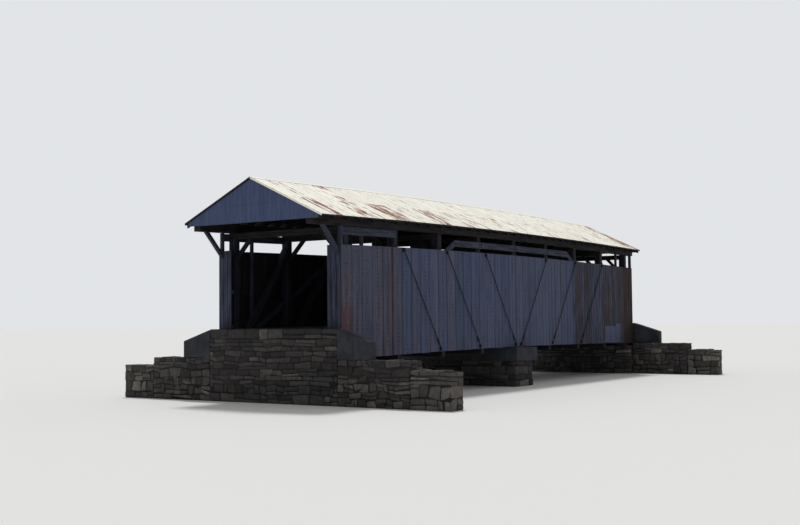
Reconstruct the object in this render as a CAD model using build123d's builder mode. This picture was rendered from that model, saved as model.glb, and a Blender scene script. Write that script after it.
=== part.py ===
from build123d import *
from math import atan2, cos, floor, radians, sin, tan
import os

# Timber covered bridge: two truss sides on stone abutments and a middle pier, sheathed and roofed.
# Millimetres. X runs across the roadway, Y along it from the near portal to the far one, Z up
# from the foot of the masonry. Left is -X and right is +X. The origin is on the ground under the
# middle of the whole bridge.

os.makedirs("parts", exist_ok=True)

# Length of the bridge
panel = 3000.0                 # from one truss post to the next
panels_each_side = 4           # panels from mid-span to the last post
siding_past_posts = 500.0      # siding and deck run on past the last posts
overhang_near = 1450.0         # roof past the siding at the near portal
overhang_far = 420.0           # roof past the siding at the far portal
camber = 120.0                 # rise of every long timber at mid-span

# Widths, measured from the centre line
outer_face = 2800.0            # outside of the siding
roadway_half = 2200.0          # inner edge of the portal panels
truss_inner = 2350.0           # inside of the truss timbers
post_outer = 2650.0            # outside of the truss posts
arch_thick = 80.0              # planks of the queen-post arch, outside the posts
siding_thick = 25.0

# Heights, measured from the deck
deck_level = 2600.0            # deck at the portals above the foot of the masonry
deck_thick = 75.0
joist_depth = 255.0
floor_beam_depth = 300.0
chord_depth = 380.0
siding_top = 2850.0
siding_below_deck = 1050.0
strain_beam_bottom = 3020.0
strain_beam_depth = 260.0
tie_beam_depth = 220.0
plate_depth = 330.0

# Roof
roof_half = 3100.0             # centre line to the eave
roof_pitch = 25.0
roof_thick = 60.0
apex_above_deck = 5250.0
rafter_depth = 120.0
rafter_width = 60.0
rafter_spacing = 750.0
rafter_set_back = 60.0         # ends of the rafters behind the eave
ridge_cap_half = 170.0
ridge_cap_thick = 8.0
gable_thick = 25.0
gable_set_back = 40.0          # gable boards behind the edge of the roof
gable_short = 150.0            # ends of the gable inside the eaves
gable_edge = 128.0             # height of the gable at its ends
gable_beam_width = 120.0
gable_beam_depth = 150.0

# Timbers
post_width = 250.0
brace_depth = 220.0
floor_beam_width = 200.0
joist_width = 120.0
joist_lines = 7
joist_reach = 1950.0           # outermost joist from the centre line
needle_width = 200.0
needle_depth = 240.0
knee_width = 120.0
knee_depth = 130.0
sway_knee_reach = 750.0
sway_knee_drop = 780.0
overhang_knee_reach = 900.0
overhang_knee_drop = 950.0
rail_depth = 120.0
rail_heights = (150.0, 1400.0) # lower and middle siding rails above the deck
stud_width = 120.0
plate_inner = 2400.0
plate_outer = 2700.0
plate_splice_every = 2         # posts between the splices of the plates
plate_splice_gap = 2.0
strain_half = 5000.0           # half the length of the straining beam
eave_board_length = 3500.0
eave_board_top = 3480.0
eave_board_depth = 280.0
eave_board_thick = 30.0

# Iron tie rods outside the siding
rod_radius = 14.0
rod_stand_off = 32.0
rod_top_shift = 300.0          # top of a rod from its post, towards mid-span
rod_foot_shift = 240.0         # foot of a rod from its post, away from mid-span
rod_top_below = 90.0           # below the top of the siding
rod_foot_above = 110.0         # above the bottom of the siding
rod_plate = 150.0
rod_plate_thick = 12.0
rod_boss_radius = 30.0
sleeve_radius = 27.0
sleeve_length = 260.0
sleeve_start = 220.0           # sleeve nut from the foot of the rod

# Masonry
bearing_depth = 150.0          # timber blocks on the abutments
bearing_length = 500.0
pier_bearing_depth = 60.0
seat_length = 800.0            # of an abutment under the ends of the timbers
abutment_past_siding = 100.0
back_wall_gap = 40.0           # between the ends of the deck and the back wall
back_wall_drop = 20.0
back_wall_thick = 360.0
wing_thick = 800.0             # the wings end level with the back wall
wing_half = 5800.0
wing_below_deck = 1040.0
wing_step_half = 7350.0
wing_step_below_deck = 1330.0
wing_cap_half = 4200.0
wing_cap_thick = 420.0
wing_cap_inner_drop = 40.0
wing_cap_outer_drop = 450.0
pier_half_length = 3050.0      # across the bridge
pier_half_width = 750.0        # along the bridge
pier_batter = 2.0
pier_cap_overhang = 170.0
pier_cap_depth = 560.0

# Worked out from the sizes above
truss_half = panel * panels_each_side
siding_half = truss_half + siding_past_posts
seat_front = siding_half - seat_length
abutment_back = siding_half + back_wall_gap + back_wall_thick
wing_front = abutment_back - wing_thick
mid_y = (overhang_near - overhang_far) / 2
near_end = mid_y - siding_half
far_end = mid_y + siding_half
roof_near = near_end - overhang_near
roof_far = far_end + overhang_far
chord_outer = post_outer + arch_thick
abutment_half = outer_face + abutment_past_siding
gable_half = roof_half - gable_short
siding_inner = outer_face - siding_thick
pitch_fall = tan(radians(roof_pitch))
roof_thick_plumb = roof_thick / cos(radians(roof_pitch))
rafter_plumb = rafter_depth / cos(radians(roof_pitch))

joist_top = deck_level - deck_thick
floor_beam_top = joist_top - joist_depth
chord_top = floor_beam_top - floor_beam_depth
chord_bottom = chord_top - chord_depth
tie_beam_bottom = deck_level + strain_beam_bottom + strain_beam_depth
tie_beam_top = tie_beam_bottom + tie_beam_depth
plate_top = tie_beam_top + plate_depth
roof_under_apex = deck_level + apex_above_deck - roof_thick_plumb
sheet_top = deck_level + siding_top
sheet_bottom = deck_level - siding_below_deck
stations = [mid_y + k * panel for k in range(-panels_each_side, panels_each_side + 1)]
sides = ((-1, "left"), (1, "right"))
ends = ((-1, "near"), (1, "far"))


def camber_at(station):
    """Rise of the camber at a post, counted from mid-span."""
    return camber * (1 - (station / panels_each_side) ** 2)


def rise(y):
    """Rise at y: the timbers are straight from post to post, and run on past the last ones."""
    along = (y - mid_y) / panel
    station = max(-panels_each_side, min(panels_each_side - 1, floor(along)))
    start = camber_at(station)
    return start + (camber_at(station + 1) - start) * (along - station)


def breaks(start, stop):
    """Places along the bridge where a timber from start to stop bends at a post."""
    return [start] + [y for y in stations if start < y < stop] + [stop]


def left_edge(side, inner, outer):
    """The lower X of a piece that lies from inner to outer on one side of the bridge."""
    return inner if side > 0 else -outer


def profile(x, width, points):
    """Adds a piece with this outline in the YZ plane, from x towards +X."""
    with BuildSketch(Plane.YZ.offset(x)) as outline:
        with BuildLine():
            Polyline(*points, close=True)
        make_face()
    extrude(outline.sketch, amount=width)


def cross_profile(y, width, points):
    """Adds a piece with this outline in the XZ plane, from y towards +Y."""
    with BuildSketch(Plane.XZ.offset(-y)) as outline:
        with BuildLine():
            Polyline(*points, close=True)
        make_face()
    extrude(outline.sketch, amount=-width)


def strip(x, width, start, stop, bottom, top):
    """Adds a long timber that follows the camber."""
    along = breaks(start, stop)
    lower = [(y, bottom + rise(y)) for y in along]
    upper = [(y, top + rise(y)) for y in reversed(along)]
    profile(x, width, lower + upper)


def block(x, y, z, width, length, height):
    """Adds a plain block from its lowest corner."""
    with BuildSketch(Plane.XY.offset(z)) as outline:
        with Locations((x + width / 2, y + length / 2)):
            Rectangle(width, length)
    extrude(outline.sketch, amount=height)


def brace(x, width, foot, head, top, depth, towards):
    """Adds a brace that stands on the chord at foot and leans to a post face at head."""
    slope = atan2(top - chord_top - rise(foot), abs(head - foot))
    toe = foot + towards * depth / sin(slope)
    profile(x, width, [
        (foot, chord_top + rise(foot)),
        (toe, chord_top + rise(toe)),
        (head, top - depth / cos(slope)),
        (head, top),
    ])


# Stone abutments under both ends, each with a back wall behind the ends of the timbers
seat_level = chord_bottom - bearing_depth + rise(near_end)
for way, end in ends:
    front = mid_y + way * seat_front
    back = mid_y + way * abutment_back
    wall_front = mid_y + way * (siding_half + back_wall_gap)
    with BuildPart() as abutment:
        profile(-abutment_half, 2 * abutment_half, [
            (front, 0),
            (back, 0),
            (back, deck_level - back_wall_drop),
            (wall_front, deck_level - back_wall_drop),
            (wall_front, seat_level),
            (front, seat_level),
        ])
    abutment.part.label = f"abutment_{end}"
    export_step(abutment.part, f"parts/abutment_{end}.step")

    # Rough stone wing walls, which step down at their outer ends
    wing_y = min(mid_y + way * wing_front, mid_y + way * (wing_front + wing_thick))
    wing_top = deck_level - wing_below_deck
    step_top = deck_level - wing_step_below_deck
    with BuildPart() as wing_walls:
        for side, hand in sides:
            cross_profile(wing_y, wing_thick, [
                (side * abutment_half, 0),
                (side * wing_step_half, 0),
                (side * wing_step_half, step_top),
                (side * wing_half, step_top),
                (side * wing_half, wing_top),
                (side * abutment_half, wing_top),
            ])
    wing_walls.part.label = f"wing_walls_{end}"
    export_step(wing_walls.part, f"parts/wing_walls_{end}.step")

    # Concrete cheek walls on the wings, with sloping tops
    cheek_y = min(mid_y + way * (wing_front + wing_thick), mid_y + way * (wing_front + wing_thick - wing_cap_thick))
    with BuildPart() as cheek_walls:
        for side, hand in sides:
            cross_profile(cheek_y, wing_cap_thick, [
                (side * abutment_half, wing_top),
                (side * wing_cap_half, wing_top),
                (side * wing_cap_half, deck_level - wing_cap_outer_drop),
                (side * abutment_half, deck_level - wing_cap_inner_drop),
            ])
    cheek_walls.part.label = f"cheek_walls_{end}"
    export_step(cheek_walls.part, f"parts/cheek_walls_{end}.step")

# Middle pier: a battered shaft with a concrete cap
cap_top = chord_bottom + camber - pier_bearing_depth
cap_bottom = cap_top - pier_cap_depth
with BuildPart() as pier:
    with BuildSketch(Plane.XY.offset(cap_bottom)):
        with Locations((0, mid_y)):
            Rectangle(2 * pier_half_length, 2 * pier_half_width)
    extrude(amount=-cap_bottom, taper=-pier_batter)
pier.part.label = "pier"
export_step(pier.part, "parts/pier.step")

with BuildPart() as pier_cap:
    block(
        -pier_half_length - pier_cap_overhang,
        mid_y - pier_half_width - pier_cap_overhang,
        cap_bottom,
        2 * (pier_half_length + pier_cap_overhang),
        2 * (pier_half_width + pier_cap_overhang),
        pier_cap_depth,
    )
pier_cap.part.label = "pier_cap"
export_step(pier_cap.part, "parts/pier_cap.step")

# Blocks that carry the lower chords on the masonry, cut to the slope of the chords
with BuildPart() as bearing_blocks:
    for side, hand in sides:
        chord_x = left_edge(side, truss_inner, chord_outer)
        for way, end in ends:
            start = min(mid_y + way * truss_half, mid_y + way * (truss_half - bearing_length))
            stop = start + bearing_length
            heel = chord_bottom + rise(start)
            toe = chord_bottom + rise(stop)
            profile(chord_x, chord_outer - truss_inner, [
                (start, seat_level),
                (stop, seat_level),
                (stop, toe),
                (start, heel),
            ])
        edge = bearing_length / 2
        profile(chord_x, chord_outer - truss_inner, [
            (mid_y - edge, cap_top),
            (mid_y + edge, cap_top),
            (mid_y + edge, chord_bottom + rise(mid_y + edge)),
            (mid_y, chord_bottom + camber),
            (mid_y - edge, chord_bottom + rise(mid_y - edge)),
        ])
bearing_blocks.part.label = "bearing_blocks"
export_step(bearing_blocks.part, "parts/bearing_blocks.step")

# Needle beams slung across under the chords at the posts between the masonry
with BuildPart() as needle_beams:
    for k in range(1, panels_each_side):
        for way, end in ends:
            y = mid_y + way * k * panel
            low = min(rise(y - needle_width / 2), rise(y + needle_width / 2))
            top = chord_bottom + low
            block(-siding_inner, y - needle_width / 2, top - needle_depth, 2 * siding_inner, needle_width, needle_depth)
needle_beams.part.label = "needle_beams"
export_step(needle_beams.part, "parts/needle_beams.step")

# Floor beams, two in each panel, on top of the chords and clear of the posts
beam_places = [y + panel * share for y in stations[:-1] for share in (0.25, 0.75)]
with BuildPart() as floor_beams:
    for y in beam_places:
        start = y - floor_beam_width / 2
        strip(-post_outer, 2 * post_outer, start, start + floor_beam_width, chord_top, floor_beam_top)
floor_beams.part.label = "floor_beams"
export_step(floor_beams.part, "parts/floor_beams.step")

with BuildPart() as floor_joists:
    for line in range(joist_lines):
        x = -joist_reach + 2 * joist_reach * line / (joist_lines - 1)
        strip(x - joist_width / 2, joist_width, near_end, far_end, floor_beam_top, joist_top)
floor_joists.part.label = "floor_joists"
export_step(floor_joists.part, "parts/floor_joists.step")

with BuildPart() as deck:
    strip(-truss_inner, 2 * truss_inner, near_end, far_end, joist_top, deck_level)
deck.part.label = "deck"
export_step(deck.part, "parts/deck.step")

# The two truss sides
for side, hand in sides:
    truss_x = left_edge(side, truss_inner, post_outer)
    truss_width = post_outer - truss_inner
    arch_x = left_edge(side, post_outer, chord_outer)

    with BuildPart() as lower_chord:
        strip(
            left_edge(side, truss_inner, chord_outer),
            chord_outer - truss_inner,
            near_end + siding_thick,
            far_end - siding_thick,
            chord_bottom,
            chord_top,
        )
    lower_chord.part.label = f"lower_chord_{hand}"
    export_step(lower_chord.part, f"parts/lower_chord_{hand}.step")

    with BuildPart() as truss_posts:
        for y in stations:
            strip(truss_x, truss_width, y - post_width / 2, y + post_width / 2, chord_top, tie_beam_bottom)
    truss_posts.part.label = f"truss_posts_{hand}"
    export_step(truss_posts.part, f"parts/truss_posts_{hand}.step")

    # In each panel one brace rises towards mid-span, from the foot of a post to the head of the next
    with BuildPart() as truss_braces:
        for k in range(1, panels_each_side + 1):
            for way, end in ends:
                foot = mid_y + way * (k * panel - post_width / 2)
                head = mid_y + way * ((k - 1) * panel + post_width / 2)
                top = deck_level + strain_beam_bottom + rise(head)
                brace(truss_x, truss_width, foot, head, top, brace_depth, -way)
    truss_braces.part.label = f"truss_braces_{hand}"
    export_step(truss_braces.part, f"parts/truss_braces_{hand}.step")

    # The queen-post arch: a straining beam under the eave and a long brace down to each end
    beam_low = deck_level + strain_beam_bottom
    beam_high = beam_low + strain_beam_depth
    with BuildPart() as strain_beam:
        strip(arch_x, arch_thick, mid_y - strain_half, mid_y + strain_half, beam_low, beam_high)
    strain_beam.part.label = f"strain_beam_{hand}"
    export_step(strain_beam.part, f"parts/strain_beam_{hand}.step")

    with BuildPart() as queen_braces:
        for way, end in ends:
            foot = mid_y + way * (truss_half - post_width / 2)
            head = mid_y + way * strain_half
            high = beam_high + rise(head)
            slope = atan2(high - chord_top - rise(foot), abs(head - foot))
            brace(arch_x, arch_thick, foot, head, high, strain_beam_depth * cos(slope), -way)
    queen_braces.part.label = f"queen_braces_{hand}"
    export_step(queen_braces.part, f"parts/queen_braces_{hand}.step")

    # Top plate over the tie beams, carried out past the portals to hold the roof. Its lengths meet
    # on the tie beams.
    splices = stations[plate_splice_every:-plate_splice_every:plate_splice_every]
    plate_ends = [roof_near + gable_set_back + gable_thick - plate_splice_gap / 2]
    plate_ends += splices
    plate_ends += [roof_far - gable_set_back - gable_thick + plate_splice_gap / 2]
    with BuildPart() as top_plate:
        for start, stop in zip(plate_ends, plate_ends[1:]):
            strip(
                left_edge(side, plate_inner, plate_outer),
                plate_outer - plate_inner,
                start + plate_splice_gap / 2,
                stop - plate_splice_gap / 2,
                tie_beam_top,
                plate_top,
            )
    top_plate.part.label = f"top_plate_{hand}"
    export_step(top_plate.part, f"parts/top_plate_{hand}.step")

    with BuildPart() as siding:
        strip(left_edge(side, siding_inner, outer_face), siding_thick, near_end, far_end, sheet_bottom, sheet_top)
    siding.part.label = f"siding_{hand}"
    export_step(siding.part, f"parts/siding_{hand}.step")

    # Rails behind the siding, on the outside of the arch and the end posts
    with BuildPart() as siding_rails:
        rail_tops = [deck_level + height for height in rail_heights] + [sheet_top]
        for top in [chord_top] + rail_tops:
            strip(
                left_edge(side, chord_outer, siding_inner),
                siding_inner - chord_outer,
                near_end + siding_thick + stud_width,
                far_end - siding_thick - stud_width,
                top - rail_depth,
                top,
            )
    siding_rails.part.label = f"siding_rails_{hand}"
    export_step(siding_rails.part, f"parts/siding_rails_{hand}.step")

# Boards nailed over the first panel under the eave, at the near portal
with BuildPart() as eave_boards:
    for side, hand in sides:
        strip(
            left_edge(side, post_outer, post_outer + eave_board_thick),
            eave_board_thick,
            near_end + siding_thick + stud_width,
            near_end + eave_board_length,
            deck_level + eave_board_top - eave_board_depth,
            deck_level + eave_board_top,
        )
eave_boards.part.label = "eave_boards"
export_step(eave_boards.part, "parts/eave_boards.step")

# Tie beams across on the heads of the posts, under the plates
with BuildPart() as tie_beams:
    for y in stations:
        strip(-post_outer, 2 * post_outer, y - post_width / 2, y + post_width / 2, tie_beam_bottom, tie_beam_top)
tie_beams.part.label = "tie_beams"
export_step(tie_beams.part, "parts/tie_beams.step")

# Knees between the posts and the tie beams, against sway
with BuildPart() as sway_knees:
    for y in stations:
        start = y - knee_width / 2
        top = tie_beam_bottom + min(rise(start), rise(start + knee_width))
        slope = atan2(sway_knee_drop, sway_knee_reach)
        for side, hand in sides:
            inner = side * (truss_inner - sway_knee_reach)
            face = side * truss_inner
            cross_profile(start, knee_width, [
                (inner, top),
                (inner + side * knee_depth / sin(slope), top),
                (face, top - sway_knee_drop + knee_depth / cos(slope)),
                (face, top - sway_knee_drop),
            ])
sway_knees.part.label = "sway_knees"
export_step(sway_knees.part, "parts/sway_knees.step")

# Knees that carry the long overhang of the roof at the near portal
with BuildPart() as overhang_knees:
    top = tie_beam_top + rise(near_end)
    slope = atan2(overhang_knee_drop, overhang_knee_reach)
    face = near_end
    tip = near_end - overhang_knee_reach
    for side, hand in sides:
        profile(left_edge(side, plate_outer - knee_width, plate_outer), knee_width, [
            (tip, tie_beam_top + rise(tip)),
            (tip + knee_depth / sin(slope), tie_beam_top + rise(tip + knee_depth / sin(slope))),
            (face, top - overhang_knee_drop + knee_depth / cos(slope)),
            (face, top - overhang_knee_drop),
        ])
overhang_knees.part.label = "overhang_knees"
export_step(overhang_knees.part, "parts/overhang_knees.step")

# Corner frames: a stud up to the plate at each corner, and rails behind the portal panels
with BuildPart() as portal_frames:
    for start in (near_end + siding_thick, far_end - siding_thick - stud_width):
        for side, hand in sides:
            stud_x = left_edge(side, siding_inner - stud_width, siding_inner)
            strip(stud_x, stud_width, start, start + stud_width, chord_top, tie_beam_top)
            for height in rail_heights:
                rail_x = left_edge(side, roadway_half, siding_inner - stud_width)
                rail_width = siding_inner - stud_width - roadway_half
                top = deck_level + height
                strip(rail_x, rail_width, start, start + stud_width, top - rail_depth, top)
portal_frames.part.label = "portal_frames"
export_step(portal_frames.part, "parts/portal_frames.step")

# Boards beside the roadway at the portals
with BuildPart() as portal_panels:
    for start in (near_end, far_end - siding_thick):
        for side, hand in sides:
            panel_x = left_edge(side, roadway_half, siding_inner)
            strip(panel_x, siding_inner - roadway_half, start, start + siding_thick, deck_level, sheet_top)
portal_panels.part.label = "portal_panels"
export_step(portal_panels.part, "parts/portal_panels.step")

# Gable boards under the roof at both ends, and the beams behind them between the plates
gable_places = (("near", roof_near + gable_set_back), ("far", roof_far - gable_set_back - gable_thick))
for end, gable_y in gable_places:
    low = min(rise(gable_y), rise(gable_y + gable_thick))
    peak = roof_under_apex + low
    corner = peak - gable_half * pitch_fall
    foot = corner - gable_edge
    with BuildPart() as gable:
        cross_profile(gable_y, gable_thick, [
            (-gable_half, foot),
            (gable_half, foot),
            (gable_half, corner),
            (0, peak),
            (-gable_half, corner),
        ])
    gable.part.label = f"gable_{end}"
    export_step(gable.part, f"parts/gable_{end}.step")

with BuildPart() as gable_beams:
    for end, gable_y in gable_places:
        start = gable_y + gable_thick if end == "near" else gable_y - gable_beam_width
        strip(-plate_inner, 2 * plate_inner, start, start + gable_beam_width, plate_top - gable_beam_depth, plate_top)
gable_beams.part.label = "gable_beams"
export_step(gable_beams.part, "parts/gable_beams.step")

# Rafters in pairs, notched over the plates and cut plumb at the ridge and the eave
first_rafter = roof_near + gable_set_back + gable_thick
last_rafter = roof_far - gable_set_back - gable_thick - rafter_width
rafter_pairs = round((last_rafter - first_rafter) / rafter_spacing)
for side, hand in sides:
    with BuildPart() as rafters:
        for pair in range(rafter_pairs + 1):
            start = first_rafter + (last_rafter - first_rafter) * pair / rafter_pairs
            low = min(rise(start), rise(start + rafter_width))
            high = max(rise(start), rise(start + rafter_width))
            top = roof_under_apex + low
            under = top - rafter_plumb
            seat = plate_top + high
            seat_inner = (under - seat) / pitch_fall
            eave = roof_half - rafter_set_back
            cross_profile(start, rafter_width, [
                (0, top),
                (side * eave, top - eave * pitch_fall),
                (side * eave, under - eave * pitch_fall),
                (side * plate_outer, under - plate_outer * pitch_fall),
                (side * plate_outer, seat),
                (side * seat_inner, seat),
                (0, under),
            ])
    rafters.part.label = f"rafters_{hand}"
    export_step(rafters.part, f"parts/rafters_{hand}.step")

# Roof slopes: boards and metal sheets as one skin, with a plumb edge at the eave
slope_length = roof_half / cos(radians(roof_pitch))
for side, hand in sides:
    down_slope = (side * cos(radians(roof_pitch)), 0, -sin(radians(roof_pitch)))
    with BuildPart() as roof:
        along = breaks(roof_near, roof_far)
        lower = [(y, roof_under_apex + rise(y)) for y in along]
        upper = [(y, roof_under_apex + roof_thick_plumb + rise(y)) for y in reversed(along)]
        with BuildSketch(Plane.YZ):
            with BuildLine():
                Polyline(*lower, *upper, close=True)
            make_face()
        extrude(amount=slope_length, dir=down_slope)
    roof.part.label = f"roof_{hand}"
    export_step(roof.part, f"parts/roof_{hand}.step")

with BuildPart() as ridge_cap:
    for side, hand in sides:
        down_slope = (side * cos(radians(roof_pitch)), 0, -sin(radians(roof_pitch)))
        along = breaks(roof_near, roof_far)
        crown = roof_under_apex + roof_thick_plumb
        lower = [(y, crown + rise(y)) for y in along]
        upper = [(y, crown + ridge_cap_thick + rise(y)) for y in reversed(along)]
        with BuildSketch(Plane.YZ):
            with BuildLine():
                Polyline(*lower, *upper, close=True)
            make_face()
        extrude(amount=ridge_cap_half, dir=down_slope)
ridge_cap.part.label = "ridge_cap"
export_step(ridge_cap.part, "parts/ridge_cap.step")

# Iron tie rods, one across each brace but the last: they fall towards mid-span outside the siding
for side, hand in sides:
    rod_x = side * (outer_face + rod_stand_off)
    with BuildPart() as tie_rods:
        for k in range(1, panels_each_side):
            for way, end in ends:
                top_y = mid_y + way * (k * panel - rod_top_shift)
                foot_y = mid_y + way * ((k - 1) * panel + rod_foot_shift)
                top = Vector(rod_x, top_y, sheet_top - rod_top_below + rise(top_y))
                foot = Vector(rod_x, foot_y, sheet_bottom + rod_foot_above + rise(foot_y))
                up_rod = (top - foot).normalized()
                sleeve_foot = foot + up_rod * sleeve_start
                with BuildSketch(Plane(origin=foot, x_dir=(1, 0, 0), z_dir=up_rod)):
                    Circle(rod_radius)
                extrude(amount=(top - foot).length)
                with BuildSketch(Plane(origin=sleeve_foot, x_dir=(1, 0, 0), z_dir=up_rod)):
                    RegularPolygon(sleeve_radius, 6)
                extrude(amount=sleeve_length)
                for tip in (top, foot):
                    wall = Plane(origin=(side * outer_face, tip.Y, tip.Z), x_dir=(0, 1, 0), z_dir=(side, 0, 0))
                    with BuildSketch(wall):
                        Rectangle(rod_plate, rod_plate)
                    extrude(amount=rod_plate_thick)
                    with BuildSketch(wall):
                        RegularPolygon(rod_boss_radius, 6)
                    extrude(amount=rod_stand_off + rod_radius + rod_plate_thick)
    tie_rods.part.label = f"tie_rods_{hand}"
    export_step(tie_rods.part, f"parts/tie_rods_{hand}.step")
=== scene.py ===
"""Covered bridge: boards, sheets, stones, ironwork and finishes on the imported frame."""

import random
from itertools import product
from math import atan2, cos, floor, pi, radians, sin, tan

import bmesh
import bpy
from bpy.props import FloatProperty, FloatVectorProperty, PointerProperty
from mathutils import Matrix, Vector
from mathutils.noise import noise_vector, seed_set


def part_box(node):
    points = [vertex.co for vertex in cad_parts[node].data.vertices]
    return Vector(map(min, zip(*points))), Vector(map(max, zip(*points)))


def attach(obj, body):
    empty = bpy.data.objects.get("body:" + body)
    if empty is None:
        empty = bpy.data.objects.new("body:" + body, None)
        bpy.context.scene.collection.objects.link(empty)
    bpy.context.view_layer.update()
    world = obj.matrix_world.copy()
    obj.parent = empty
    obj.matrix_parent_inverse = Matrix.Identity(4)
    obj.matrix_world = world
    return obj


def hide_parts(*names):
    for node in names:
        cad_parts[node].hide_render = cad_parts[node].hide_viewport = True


bl_info = {
    "name": "Covered Bridge",
    "version": (1, 0, 0),
    "blender": (4, 5, 0),
    "location": "3D View > Sidebar > Bridge",
    "description": "Dresses the frame of a timber covered bridge",
    "category": "Object",
}

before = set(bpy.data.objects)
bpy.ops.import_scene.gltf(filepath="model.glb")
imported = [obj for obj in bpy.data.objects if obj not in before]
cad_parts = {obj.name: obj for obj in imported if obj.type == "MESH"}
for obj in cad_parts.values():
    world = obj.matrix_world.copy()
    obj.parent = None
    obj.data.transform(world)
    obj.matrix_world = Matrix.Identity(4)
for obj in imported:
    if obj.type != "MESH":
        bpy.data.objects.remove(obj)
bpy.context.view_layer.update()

# Sizes of the frame, in metres: X across the roadway, Y along it, Z up from the ground
MID_Y = 0.515
PANEL = 3.0
PANELS_EACH_SIDE = 4
CAMBER = 0.12
NEAR_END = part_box("deck")[0].y
FAR_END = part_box("deck")[1].y
ROOF_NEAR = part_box("roof_right")[0].y
ROOF_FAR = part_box("roof_right")[1].y
DECK_LEVEL = 2.6
DECK_THICK = 0.075
ROADWAY_HALF = 2.2
TRUSS_INNER = 2.35
STUD_INNER = 2.5
STUD_OUTER = 2.6
CHORD_OUTER = 2.73
SIDING_INNER = 2.775
OUTER_FACE = 2.8
HALF_POST = 0.125
CHORD_TOP = 1.97
SHEET_BOTTOM = 1.55
SHEET_TOP = 5.45
BRACE_TOP = 5.62
STRAIN_BEAM_TOP = 5.88
TIE_BEAM_TOP = 6.1
RAIL_TOPS = (CHORD_TOP, 2.75, 4.0, SHEET_TOP)
ROOF_HALF = 3.1
PITCH = radians(25)
PITCH_FALL = tan(PITCH)
ROOF_PLUMB = 0.06 / cos(PITCH)
RIDGE_ABOVE_DECK = 5.25
UNDER_APEX = DECK_LEVEL + RIDGE_ABOVE_DECK - ROOF_PLUMB
SEAT_TOP = 1.43125
BACK_WALL_LINE = 12.54
WING_INNER = 2.9
WING_STEP = 5.8
WING_OUTER = 7.35
WING_STEP_TOP = 1.27
PIER_TOP_X = 3.05
PIER_TOP_Y = 0.75
PIER_BATTER = tan(radians(2))
SIDES = ((-1, "left"), (1, "right"))
ENDS = ((-1, "near"), (1, "far"))
STATIONS = [MID_Y + k * PANEL for k in range(-PANELS_EACH_SIDE, PANELS_EACH_SIDE + 1)]

# How the small pieces lie. A lap strip covers the end of the fifth sheet.
SHEET_BACK = OUTER_FACE - 0.011
LAST_BOARDS = FAR_END - 0.9
LAP_SHEET = 5
PATCH_START = FAR_END - 3.5
BATTENS = 7
INSET = 0.03
UNDER_SHEETS = ROOF_PLUMB - 0.006
ROOF_COURSES = ((0.0, 1.62), (1.55, ROOF_HALF))
RIDGE_REACH = 0.155
METAL = 0.004
WASHER = 0.005

# Further rust on single roof sheets of the upper and the lower course. The right side counts them
# from the near end and the left side from the far end.
RUSTY_SHEETS = (
    {1: 0.12, 5: 0.26, 12: 0.22, 19: 0.14, 30: 0.12, 36: 0.12, 39: 0.16, 40: 0.22, 41: 0.3, 42: 0.44},
    {
        1: 0.24, 4: 0.3, 5: 0.2, 7: 0.34, 8: 0.26, 12: 0.18, 13: 0.26, 15: 0.2, 17: 0.24, 21: 0.16, 27: 0.14,
        33: 0.12, 38: 0.14, 41: 0.24, 42: 0.44,
    },
)
ROOF_RUST = (0.26, 0.38)

# How brown the siding has weathered, up to each place along the bridge
WALL_WARMTH = ((-8.8, 0.8), (3.0, 0.12), (6.0, 0.24), (9.3, 0.28), (FAR_END, 0.38))

# The camera of the photograph: where it stands, its turns in degrees and its lens
CAMERA_PLACE = (25.892, -42.369, 2.877)
CAMERA_YAW = 34.24
CAMERA_PITCH = 2.89
CAMERA_ROLL = -0.53
CAMERA_LENS = 50.8
FLOOR_HALF = 400


def linear(red, green, blue):
    """A colour as its linear values, from what a screen shows in 0 to 255."""
    parts = [part / 255 for part in (red, green, blue)]
    return tuple(part / 12.92 if part <= 0.04045 else ((part + 0.055) / 1.055) ** 2.4 for part in parts)


def camber_at(station):
    """Rise of the camber at a post, counted from mid-span."""
    return CAMBER * (1 - (station / PANELS_EACH_SIDE) ** 2)


def rise(y):
    """Rise at y: the timbers are straight from post to post."""
    along = (y - MID_Y) / PANEL
    station = max(-PANELS_EACH_SIDE, min(PANELS_EACH_SIDE - 1, floor(along)))
    start = camber_at(station)
    return start + (camber_at(station + 1) - start) * (along - station)


def breaks(start, stop):
    """Places along the bridge where a timber bends at a post."""
    return [start] + [y for y in STATIONS if start < y < stop] + [stop]


def pairs(edges):
    """Each two edges that follow each other."""
    return zip(edges, edges[1:])


def share(value):
    """A value kept from 0 to 1."""
    return min(1, max(0, value))


# Properties that a user would change


def colour(name, description, red, green, blue):
    """A colour property."""
    return FloatVectorProperty(
        name=name, description=description, subtype="COLOR", size=3, min=0, max=1,
        default=linear(red, green, blue),
    )


def length(name, description, default):
    """A length property, in metres."""
    return FloatProperty(name=name, description=description, default=default, min=0.001, unit="LENGTH")


class BridgeSizes(bpy.types.PropertyGroup):
    """Sizes of the small pieces."""

    sheet_width: length("Siding sheet", "Width that one siding sheet covers", 0.62)
    sheets_end: length("End of the sheets", "Where bare boards take over from the siding sheets", 5.95)
    board_width: length("Siding board", "Usual width of a siding board", 0.25)
    gable_board: length("Gable board", "Width of a gable board", 0.2)
    roof_sheet: length("Roof sheet", "Width that one roof sheet covers", 0.62)
    roof_board: length("Roof board", "Width of a board under the roof sheets", 0.19)
    crimp: length("Crimp", "Height of the folded ribs in the sheets", 0.008)
    plank: length("Deck plank", "Width of a deck plank", 0.2)
    gap: length("Gap", "Gap between two boards", 0.005)
    course: length("Course", "Usual height of a course of stones", 0.24)
    joint: length("Joint", "Width of a mortar joint", 0.014)


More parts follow.
